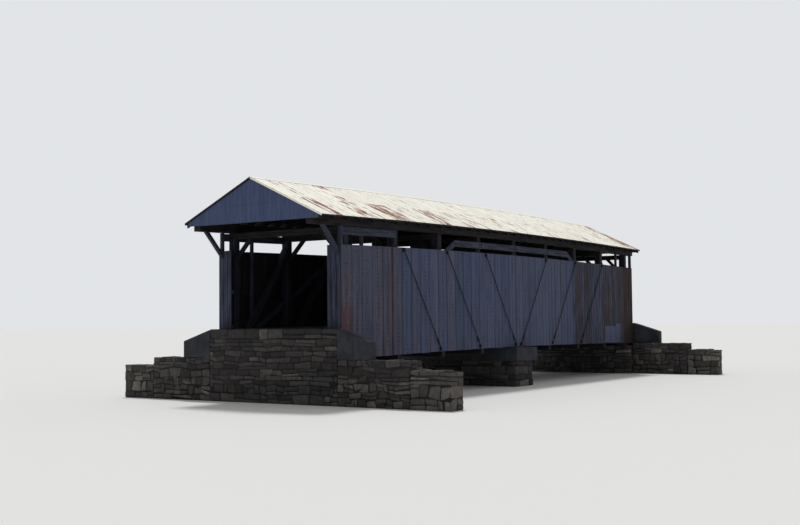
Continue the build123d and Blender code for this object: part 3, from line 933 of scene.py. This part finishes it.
class BRIDGE_OT_stone_work(bpy.types.Operator):
    """Builds the abutments, wing walls and pier of rough stones"""

    bl_idname = "bridge.stone_work"
    bl_label = "Stone work"

    def execute(self, context):
        sizes = context.scene.bridge_sizes
        course, joint = sizes.course, sizes.joint
        seed_set(17)
        finishes = ["rough stone", "sandy mortar"]
        for way, end in ENDS:
            rng = random.Random(11 + way)
            low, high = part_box(f"abutment_{end}")
            wall_line = MID_Y + way * BACK_WALL_LINE
            parts = [(low.y, wall_line), (wall_line, high.y)][::way]
            seat = Shape()
            for (y0, y1), top, depth in zip(parts, (SEAT_TOP, high.z), (0.3, 0.18)):
                stone_wall(seat, (low.x, y0, low.z), (high.x, y1, top), rng, course, joint, depth)
            seat.build(f"abutment_stones_{end}", finishes, [f"abutment_{end}"], smooth=True)

            low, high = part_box(f"wing_walls_{end}")
            wings = Shape()
            for side, hand in SIDES:
                # The outer wing blocks get paler stones than the inner wings, partly as painted sunlight.
                for inner, outer, top, height, *stones in (
                    (WING_INNER, WING_STEP, high.z, 1.1, (0.22, 0.65), 0.2, 0.03),
                    (WING_STEP, WING_OUTER, WING_STEP_TOP, 1.2, (0.3, 0.7), 0.45, 0.07),
                ):
                    x0, x1 = sorted((side * inner, side * outer))
                    stone_wall(
                        wings, (x0, low.y, low.z), (x1, high.y, top), rng, course * height, joint * 1.3,
                        0.4, *stones, 0.12,
                    )
            wings.build(f"wing_stones_{end}", finishes, [f"wing_walls_{end}"], smooth=True)

        low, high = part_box("pier")
        shaft = Shape()
        stone_wall(
            shaft, (-PIER_TOP_X, MID_Y - PIER_TOP_Y, low.z), (PIER_TOP_X, MID_Y + PIER_TOP_Y, high.z),
            random.Random(29), course * 1.15, joint, 0.35, (0.4, 0.9), 0.0, 0.0, 0.06,
        )
        spread = []
        for x, y, z in shaft.points:
            out = (high.z - z) * PIER_BATTER
            spread.append((x * (1 + out / PIER_TOP_X), MID_Y + (y - MID_Y) * (1 + out / PIER_TOP_Y), z))
        shaft.points = spread
        shaft.build("pier_stones", finishes, ["pier"], smooth=True)
        return {"FINISHED"}


class BRIDGE_OT_concrete_work(bpy.types.Operator):
    """Gives the cheek walls and the pier cap their concrete"""

    bl_idname = "bridge.concrete_work"
    bl_label = "Concrete work"

    def execute(self, context):
        for name in ("cheek_walls_near", "cheek_walls_far", "pier_cap"):
            soften(give_finish(name, "old concrete"), 0.012, weld=True)
        return {"FINISHED"}


# Timbers and boards


TIMBERS = {
    "old timber along X": "bearing_blocks needle_beams floor_beams tie_beams gable_beams",
    "old timber along Y": (
        "floor_joists lower_chord_left lower_chord_right top_plate_left top_plate_right "
        "siding_rails_left siding_rails_right"
    ),
    "old timber along Z": "sway_knees",
    "old timber along left rafter": "rafters_left",
    "old timber along right rafter": "rafters_right",
    "truss timber along Z": "truss_posts_left truss_posts_right",
    "truss timber along truss brace": "truss_braces_left truss_braces_right",
    "grey timber along queen brace": "queen_braces_left queen_braces_right",
    "grey timber along overhang knee": "overhang_knees",
    "grey timber along Y": "eave_boards strain_beam_left strain_beam_right",
    "grey timber along Z": "portal_frames",
}


class BRIDGE_OT_timbers(bpy.types.Operator):
    """Gives the timbers of the frame their sawn and weathered wood"""

    bl_idname = "bridge.timbers"
    bl_label = "Timbers"

    def execute(self, context):
        for finish_name, node_names in TIMBERS.items():
            for node_name in node_names.split():
                soften(give_finish(node_name, finish_name), 0.008, weld=True)
        return {"FINISHED"}


class BRIDGE_OT_deck_planks(bpy.types.Operator):
    """Lays the planks of the deck across the joists"""

    bl_idname = "bridge.deck_planks"
    bl_label = "Deck planks"

    def execute(self, context):
        sizes = context.scene.bridge_sizes
        rng = random.Random(5)
        half_gap = sizes.gap / 2
        planks = Shape()
        for a, b in pairs(board_edges(rng, NEAR_END, FAR_END, sizes.plank, 0.08)):
            worn = rng.uniform(0.0, 0.004)
            reach = TRUSS_INNER - rng.uniform(0, 0.01)
            under, over = DECK_LEVEL - DECK_THICK, DECK_LEVEL - worn
            ends = [
                (a + half_gap, under + rise(a)), (b - half_gap, under + rise(b)),
                (b - half_gap, over + rise(b)), (a + half_gap, over + rise(a)),
            ]
            outlines = [[(x, y, z) for y, z in ends] for x in (-reach, reach)]
            planks.prism(*outlines, across=[0, 1, 1, 0], **own_values(rng))
        planks.build("deck_planks", ["deck plank along X"], ["deck"], bevel=0.004)
        return {"FINISHED"}


def upright_board(shape, side, a, b, bottom, top, inner, outer, number=0, **values):
    """Adds an upright board on a side wall, with its ends cut to the camber."""
    x0, x1 = sorted((side * inner, side * outer))
    outlines = [[(x, y, z + rise(y)) for x, y in ((x0, a), (x1, a), (x1, b), (x0, b))] for z in (bottom, top)]
    shape.prism(*outlines, number, across=[0, 0, 1, 1], **values)


def warmth_of_wall(y):
    """How brown the wall has weathered along the bridge."""
    return next(warmth for stop, warmth in WALL_WARMTH if y < stop)


class BRIDGE_OT_siding(bpy.types.Operator):
    """Hangs the siding: sheets on boards along most of a side, and bare boards towards the far end"""

    bl_idname = "bridge.siding"
    bl_label = "Siding"

    def execute(self, context):
        sizes = context.scene.bridge_sizes
        half_gap = sizes.gap / 2
        for side, hand in SIDES:
            rng = random.Random(41 if side > 0 else 43)
            wall = Shape()
            for a, b in pairs(board_edges(rng, NEAR_END, sizes.sheets_end, sizes.board_width, 0.2)):
                upright_board(
                    wall, side, a + half_gap, b - half_gap, SHEET_BOTTOM + rng.uniform(0.0, 0.02), SHEET_TOP,
                    SIDING_INNER, SHEET_BACK - 0.001, 2, **own_values(rng, 0.4),
                )
            edges = board_edges(rng, NEAR_END, sizes.sheets_end, sizes.sheet_width, 0.02)
            for number, (a, b) in enumerate(pairs(edges)):
                self.sheet(wall, rng, side, a, b, sizes.crimp, number + 1 == LAP_SHEET)
            for a, b in pairs(board_edges(rng, sizes.sheets_end, FAR_END, sizes.board_width, 0.25)):
                last = b > LAST_BOARDS
                brown = 1.0 if last else share(rng.gauss(warmth_of_wall(a), 0.12))
                values = own_values(rng, 0.35, brown, 0.3, rng.uniform(0.9, 2.0))
                if last:
                    values["tint"] -= 0.4
                proud = rng.uniform(0, 0.006)
                upright_board(
                    wall, side, a + half_gap, b - half_gap, SHEET_BOTTOM + rng.uniform(0, 0.02),
                    SHEET_TOP - rng.uniform(0, 0.012), SIDING_INNER, OUTER_FACE - proud, 1, **values,
                )
            lap = edges[LAP_SHEET]
            upright_board(
                wall, side, lap - 0.05, lap + 0.06, SHEET_BOTTOM + 0.03, SHEET_TOP - 0.02,
                OUTER_FACE - 0.004, OUTER_FACE + 0.003, 1,
                tint=-0.05, warm=1.0, seam=0.5, shift=(3.0, 7.0, 11.0),
            )
            for start, stop, top in ((0.0, 1.35, 0.86), (1.35, 1.9, 1.0)):
                upright_board(
                    wall, side, PATCH_START + start, PATCH_START + stop, SHEET_BOTTOM + 0.05, SHEET_BOTTOM + top,
                    OUTER_FACE - 0.001, OUTER_FACE + 0.002, 0,
                    tint=0.45, warm=0.3, rust=-0.5, seam=0.3, shift=(rng.uniform(0, 9), 3.0, 5.0),
                )
            finishes = ["siding sheet", "siding board along Z", "old timber along Z"]
            wall.build(f"siding_sheets_{hand}", finishes, [f"siding_{hand}"], bevel=0.002)
        return {"FINISHED"}

    def sheet(self, wall, rng, side, a, b, crimp, at_lap):
        """Adds one sheet with a folded rib at each edge and in the middle."""
        ribs = ribbed(a, b, 0.02)
        bottom = SHEET_BOTTOM + rng.uniform(-0.004, 0.012)
        top = SHEET_TOP - rng.uniform(0.0, 0.006)
        crimp *= rng.uniform(0.35, 1.0)
        outline = [(side * SHEET_BACK, b), (side * SHEET_BACK, a)]
        outline += [(side * (OUTER_FACE - 0.007 + crimp * up), y) for y, up in ribs]
        outlines = [[(x, y, z + rise(y)) for x, y in outline] for z in (bottom, top)]
        warm = share(rng.gauss(warmth_of_wall(a), 0.15))
        rust = 0.05 + max(0.0, (-10.0 - a) * 0.3) + rng.uniform(0, 0.14)
        seam = 0.1 + 0.9 * rng.random() ** 2
        # The sheet under the lap gets more rust and a strong seam value: more rust and painted shade at its edges.
        if at_lap:
            rust += 0.12
            seam = 1.5
        wall.prism(*outlines, 0, across_sheet(ribs), **own_values(rng, 0.25, warm, rust, seam))


class BRIDGE_OT_portals(bpy.types.Operator):
    """Nails the boards beside the roadway at both portals"""

    bl_idname = "bridge.portals"
    bl_label = "Portal boards"

    def execute(self, context):
        half_gap = context.scene.bridge_sizes.gap / 2
        rng = random.Random(61)
        boards = Shape()
        for start, stop in ((NEAR_END, NEAR_END + 0.025), (FAR_END - 0.025, FAR_END)):
            for side, hand in SIDES:
                for a, b in pairs(board_edges(rng, ROADWAY_HALF, SIDING_INNER, 0.19, 0.15)):
                    x0, x1 = sorted((side * (a + half_gap), side * (b - half_gap)))
                    proud = rng.uniform(0, 0.005)
                    y0, y1 = (start + proud, stop) if start < 0 else (start, stop - proud)
                    low = DECK_LEVEL + rise(start) + rng.uniform(0.0, 0.01)
                    high = SHEET_TOP + rise(start) - rng.uniform(0, 0.012)
                    outlines = [[(x0, y0, z), (x1, y0, z), (x1, y1, z), (x0, y1, z)] for z in (low, high)]
                    values = own_values(rng, 0.3, rng.uniform(0, 0.4))
                    boards.prism(*outlines, across=[0, 1, 1, 0], **values)
        boards.build("portal_boards", ["siding board along Z"], ["portal_panels"], bevel=0.003)
        return {"FINISHED"}


class BRIDGE_OT_end_studs(bpy.types.Operator):
    """Stands a thin stud on the brace of each end panel, up to the plate"""

    bl_idname = "bridge.end_studs"
    bl_label = "End studs"

    def execute(self, context):
        studs = Shape()
        for side, hand in SIDES:
            faces = sorted((side * STUD_INNER, side * STUD_OUTER))
            for way, end in ENDS:
                foot = MID_Y + way * (PANELS_EACH_SIDE * PANEL - HALF_POST)
                head = MID_Y + way * ((PANELS_EACH_SIDE - 1) * PANEL + HALF_POST)
                fall = (BRACE_TOP + rise(head) - CHORD_TOP - rise(foot)) / abs(head - foot)
                start, stop = sorted((foot - way * 0.82, foot - way * 0.94))
                outline = [(y, CHORD_TOP + rise(foot) + abs(y - foot) * fall) for y in (start, stop)]
                outline += [(y, TIE_BEAM_TOP + rise(y)) for y in (stop, start)]
                outlines = [[(x, y, z) for y, z in outline] for x in faces]
                studs.prism(*outlines, **own_values(random.Random(3), 0.2))
        studs.build("end_studs", ["grey timber along Z"], bevel=0.006)
        return {"FINISHED"}


class BRIDGE_OT_gables(bpy.types.Operator):
    """Nails the upright boards of both gables under the roof"""

    bl_idname = "bridge.gables"
    bl_label = "Gable boards"

    def execute(self, context):
        sizes = context.scene.bridge_sizes
        for way, end in ENDS:
            rng = random.Random(71 + way)
            low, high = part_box(f"gable_{end}")
            lift = min(rise(low.y), rise(high.y))
            boards = Shape()
            edges = board_edges(rng, -high.x, 0, sizes.gable_board, 0.1)
            edges += board_edges(rng, 0, high.x, sizes.gable_board, 0.1)[1:]
            for a, b in pairs(edges):
                x0, x1 = a + sizes.gap / 4, b - sizes.gap / 4
                proud = rng.uniform(0, 0.003)
                y0, y1 = (low.y + proud, high.y) if way < 0 else (low.y, high.y - proud)
                bottom = low.z + rng.uniform(0, 0.008)
                tops = [UNDER_APEX + lift - abs(x) * PITCH_FALL for x in (x0, x1)]
                corners = ((x0, bottom), (x1, bottom), (x1, tops[1]), (x0, tops[0]))
                outlines = [[(x, y, z) for x, z in corners] for y in (y0, y1)]
                seam = rng.uniform(0.05, 0.4)
                boards.prism(*outlines, across=[0, 1, 1, 0], **own_values(rng, 0.12, seam=seam))
                if min(tops) - low.z > 0.75:
                    for x in (x0 + 0.045, x1 - 0.045):
                        spot = (x, low.y if way < 0 else high.y, low.z + 0.62)
                        disc(boards, spot, (0, way, 0), 0.011, 0.003, 6, 1)
            finishes = ["gable board along Z", "rusted iron"]
            boards.build(f"gable_boards_{end}", finishes, [f"gable_{end}"], bevel=0.003)
        return {"FINISHED"}


# Roof


def roof_point(side, out, y, lift):
    """A point of the roof at a distance from the ridge line, lift above its underside."""
    return (side * out, y, UNDER_APEX + rise(y) - out * PITCH_FALL + lift)


def add_strip(skin, side, inner, outer, bottom, top, start, stop, number, across, values):
    """Adds a straight strip along the roof."""
    corners = ((inner, bottom), (outer, bottom), (outer, top), (inner, top))
    outlines = [[roof_point(side, out, y, lift) for out, lift in corners] for y in (start, stop)]
    skin.prism(*outlines, number, [across] * 4, **values)


class BRIDGE_OT_roof(bpy.types.Operator):
    """Lays the roof: boards, battens, ribbed sheets and a ridge cap"""

    bl_idname = "bridge.roof"
    bl_label = "Roof"

    def execute(self, context):
        sizes = context.scene.bridge_sizes
        for side, hand in SIDES:
            rng = random.Random(83 if side > 0 else 89)
            skin = Shape()
            self.boards(skin, rng, side, sizes)
            self.sheets(skin, rng, side, sizes)
            finishes = ["roof sheet", "roof board along Y"]
            skin.build(f"roof_sheets_{hand}", finishes, [f"roof_{hand}"])
        self.ridge(random.Random(97))
        return {"FINISHED"}

    def boards(self, skin, rng, side, sizes):
        """Boards on the rafters, battens on the boards, and strips that close the edges."""
        strips = []
        for a, b in pairs(board_edges(rng, 0.01, ROOF_HALF - INSET, sizes.roof_board * cos(PITCH), 0.1)):
            strips.append((a, b - 0.014, 0.0, 0.03, own_values(rng, 0.4)))
        for line in range(BATTENS):
            out = 0.06 + line * (ROOF_HALF - 0.16) / (BATTENS - 1)
            strips.append((out, out + 0.06, 0.03, UNDER_SHEETS, own_values(rng, 0.3)))
        strips.append((ROOF_HALF - 0.028, ROOF_HALF - 0.002, 0.0, UNDER_SHEETS, own_values(rng, 0.2)))
        for *section, values in strips:
            for a, b in pairs(breaks(ROOF_NEAR + INSET, ROOF_FAR - INSET)):
                add_strip(skin, side, *section, a, b, 1, 0.5, values)
        for start in (ROOF_NEAR + 0.004, ROOF_FAR - INSET):
            number = 0 if side > 0 and start < 0 else 1
            section = (0.0, ROOF_HALF - 0.002, 0.0, UNDER_SHEETS)
            add_strip(skin, side, *section, start, start + 0.026, number, 0.25, own_values(rng, 0.2))

    def sheets(self, skin, rng, side, sizes):
        """Two courses of sheets, each with three folded ribs down the slope."""
        edges = board_edges(rng, ROOF_NEAR, ROOF_FAR, sizes.roof_sheet, 0.01)
        for number, (a, b) in enumerate(pairs(edges)):
            for course, ends in enumerate(ROOF_COURSES):
                ribs = ribbed(a, b, 0.016)
                lie = ROOF_PLUMB - 0.002 + (0.0025 if course == 0 else 0.0)
                spots = [(b, lie - METAL), (a, lie - METAL)] + [(y, lie + sizes.crimp * up) for y, up in ribs]
                outlines = [[roof_point(side, out, y, lift) for y, lift in spots] for out in ends]
                extra = RUSTY_SHEETS[course].get(number if side > 0 else len(edges) - 2 - number, 0.0)
                rust = ROOF_RUST[course] + rng.uniform(-0.08, 0.08) + extra
                skin.prism(*outlines, 0, across_sheet(ribs), **own_values(rng, 0.5, rust=rust))

    def ridge(self, rng):
        """A bent cap over the ridge, in lapped lengths."""
        cap = Shape()
        spots = ((-1, RIDGE_REACH), (1, 0), (1, RIDGE_REACH))
        for a, b in pairs(board_edges(rng, ROOF_NEAR, ROOF_FAR, 2.4, 0.02)):
            stops = breaks(a, min(b + 0.06, ROOF_FAR))
            top = ROOF_PLUMB + 0.012 + rng.uniform(0, 0.002)
            corners = [(*spot, top - METAL) for spot in spots] + [(*spot, top) for spot in reversed(spots)]
            for ends in pairs(stops):
                outlines = [[roof_point(side, out, y, lift) for side, out, lift in corners] for y in ends]
                cap.prism(*outlines, 0, [0.25] * 6, **own_values(rng, 0.3, rust=0.1))
        cap.build("ridge_cap_lengths", ["roof sheet"], ["ridge_cap"])


# Ironwork


def bolt(shape, side, way, x, y, z):
    """Adds a washer and a nut on a timber's face, which looks outwards where way is 1."""
    facing = (side * way, 0, 0)
    disc(shape, (side * x, y, z), facing, 0.03, WASHER, 10)
    disc(shape, (side * (x + way * WASHER), y, z), facing, 0.017, 0.014, 6)


class BRIDGE_OT_ironwork(bpy.types.Operator):
    """Finishes the tie rods and sets bolts, nuts and nails"""

    bl_idname = "bridge.ironwork"
    bl_label = "Ironwork"

    def execute(self, context):
        for side, hand in SIDES:
            give_finish(f"tie_rods_{hand}", "rusted iron")
            self.bolts(side, hand)
            self.siding_nails(side, hand)
            self.roof_nails(side, hand, context.scene.bridge_sizes.roof_sheet / 2)
        return {"FINISHED"}

    def bolts(self, side, hand):
        """Washers and nuts where the arch and the truss timbers are bolted together."""
        iron = Shape()
        for y in STATIONS:
            if abs(y - MID_Y) < 5.0:
                for shift, down in product((-0.07, 0.07), (0.09, 0.19)):
                    bolt(iron, side, 1, CHORD_OUTER, y + shift, STRAIN_BEAM_TOP - down + rise(y))
            for height, shift in product((2.9, 5.35), (-0.06, 0.06)):
                bolt(iron, side, -1, TRUSS_INNER, y + shift, height + rise(y))
        iron.build(f"truss_bolts_{hand}", ["rusted iron"])

    def siding_nails(self, side, hand):
        """Nail heads in rows along the siding rails."""
        heads = Shape()
        rng = random.Random(101 + side)
        for top in RAIL_TOPS:
            y = NEAR_END + 0.06
            while y < FAR_END - 0.04:
                spot = (side * (OUTER_FACE - 0.007), y, top - 0.06 + rng.uniform(-0.012, 0.012) + rise(y))
                disc(heads, spot, (side, 0, 0), 0.007, 0.009, 6, dome=0.4)
                y += rng.uniform(0.11, 0.17)
        heads.build(f"siding_nails_{hand}", ["rusted iron"])

    def roof_nails(self, side, hand, spacing):
        """Nail heads down the roof ribs."""
        heads = Shape()
        y = ROOF_NEAR + 0.31
        while y < ROOF_FAR:
            for out in (0.35, 0.85, 1.35, 1.7, 2.1, 2.6, 3.0):
                spot = roof_point(side, out, y, ROOF_PLUMB + 0.006)
                disc(heads, spot, (side * sin(PITCH), 0, cos(PITCH)), 0.009, 0.004, 6, dome=0.4)
            y += spacing
        heads.build(f"roof_nails_{hand}", ["rusted iron"])


# Stage


class BRIDGE_OT_stage(bpy.types.Operator):
    """Sets the floor, the light and the camera"""

    bl_idname = "bridge.stage"
    bl_label = "Stage"

    def execute(self, context):
        scene = context.scene
        stage = scene.bridge_stage
        scene.view_settings.view_transform = "Standard"
        self.floor(scene, stage)
        self.world(scene, stage)
        self.sun(scene, stage)
        self.camera(scene)
        return {"FINISHED"}

    def floor(self, scene, stage):
        """A plain floor that the bridge stands on."""
        corners = [(x * FLOOR_HALF, y * FLOOR_HALF, 0) for x, y in ((-1, -1), (1, -1), (1, 1), (-1, 1))]
        mesh = bpy.data.meshes.new("floor")
        mesh.from_pydata(corners, [], [(0, 1, 2, 3)])
        ground = bpy.data.objects.new("floor", mesh)
        scene.collection.objects.link(ground)
        made = Finish("plain floor")
        made.put(made.shader.inputs["Base Color"], stage.floor)
        made.put(made.shader.inputs["Roughness"], 0.9)
        mesh.materials.append(made.material)

    def world(self, scene, stage):
        """Soft light all round, and a pale background for the camera."""
        world = bpy.data.worlds.new("sky")
        scene.world = world
        world.use_nodes = True
        nodes = Nodes(world.node_tree)
        nodes.tree.nodes.clear()
        light = nodes.output("ShaderNodeBackground", {"Color": (1, 1, 1), "Strength": stage.world_strength})
        seen = nodes.output("ShaderNodeBackground", {"Color": stage.backdrop, "Strength": 1.0})
        rays = nodes.outputs("ShaderNodeLightPath")
        mirrored = nodes.math("MAXIMUM", rays["Is Glossy Ray"], rays["Is Transmission Ray"])
        direct = nodes.math("MAXIMUM", rays["Is Camera Ray"], mirrored)
        both = nodes.output("ShaderNodeMixShader", {0: direct, 1: light, 2: seen})
        nodes.place("ShaderNodeOutputWorld", {0: both})

    def sun(self, scene, stage):
        """A soft sun from the left and behind the bridge."""
        sun = bpy.data.lights.new("sun", "SUN")
        sun.energy = stage.sun_strength
        sun.angle = stage.sun_size
        lamp = bpy.data.objects.new("sun", sun)
        lamp.rotation_mode = "QUATERNION"
        lamp.rotation_quaternion = Vector((-0.22, 0.28, 0.93)).to_track_quat("Z", "Y")
        lamp.location = (-20, 15, 30)
        scene.collection.objects.link(lamp)

    def camera(self, scene):
        """The camera at the angle of the photograph."""
        yaw, pitch, roll = radians(CAMERA_YAW), radians(CAMERA_PITCH), radians(CAMERA_ROLL)
        forward = Vector((-sin(yaw) * cos(pitch), cos(yaw) * cos(pitch), sin(pitch)))
        level = Vector((cos(yaw), sin(yaw), 0))
        up = level.cross(forward)
        right = cos(roll) * level + sin(roll) * up
        upright = -sin(roll) * level + cos(roll) * up
        lens = bpy.data.cameras.new("camera")
        lens.lens = CAMERA_LENS
        lens.sensor_width = 36
        lens.clip_end = 1000
        eye = bpy.data.objects.new("camera", lens)
        turned = Matrix((right, upright, -forward)).transposed().to_4x4()
        turned.translation = Vector(CAMERA_PLACE)
        eye.matrix_world = turned
        scene.collection.objects.link(eye)
        scene.camera = eye


class BRIDGE_PT_panel(bpy.types.Panel):
    """Lists the steps that dress the bridge"""

    bl_idname = "BRIDGE_PT_panel"
    bl_label = "Covered Bridge"
    bl_space_type = "VIEW_3D"
    bl_region_type = "UI"
    bl_category = "Bridge"

    def draw(self, context):
        for step in STEPS:
            self.layout.operator(step.bl_idname)
        for settings in (context.scene.bridge_sizes, context.scene.bridge_colours, context.scene.bridge_stage):
            box = self.layout.box()
            for name in settings.__annotations__:
                box.prop(settings, name)


STEPS = (
    BRIDGE_OT_stone_work,
    BRIDGE_OT_concrete_work,
    BRIDGE_OT_timbers,
    BRIDGE_OT_deck_planks,
    BRIDGE_OT_siding,
    BRIDGE_OT_portals,
    BRIDGE_OT_end_studs,
    BRIDGE_OT_gables,
    BRIDGE_OT_roof,
    BRIDGE_OT_ironwork,
    BRIDGE_OT_stage,
)
CLASSES = (BridgeSizes, BridgeColours, BridgeStage, *STEPS, BRIDGE_PT_panel)


def register():
    """Registers the classes and the settings."""
    for each in CLASSES:
        bpy.utils.register_class(each)
    bpy.types.Scene.bridge_sizes = PointerProperty(type=BridgeSizes)
    bpy.types.Scene.bridge_colours = PointerProperty(type=BridgeColours)
    bpy.types.Scene.bridge_stage = PointerProperty(type=BridgeStage)


def unregister():
    """Takes the settings and the classes away again."""
    del bpy.types.Scene.bridge_stage
    del bpy.types.Scene.bridge_colours
    del bpy.types.Scene.bridge_sizes
    for each in reversed(CLASSES):
        bpy.utils.unregister_class(each)


def main():
    """Dresses the bridge, step by step."""
    register()
    bpy.ops.bridge.stone_work()
    bpy.ops.bridge.concrete_work()
    bpy.ops.bridge.timbers()
    bpy.ops.bridge.deck_planks()
    bpy.ops.bridge.siding()
    bpy.ops.bridge.portals()
    bpy.ops.bridge.end_studs()
    bpy.ops.bridge.gables()
    bpy.ops.bridge.roof()
    bpy.ops.bridge.ironwork()
    bpy.ops.bridge.stage()


if __name__ == "__main__":
    main()
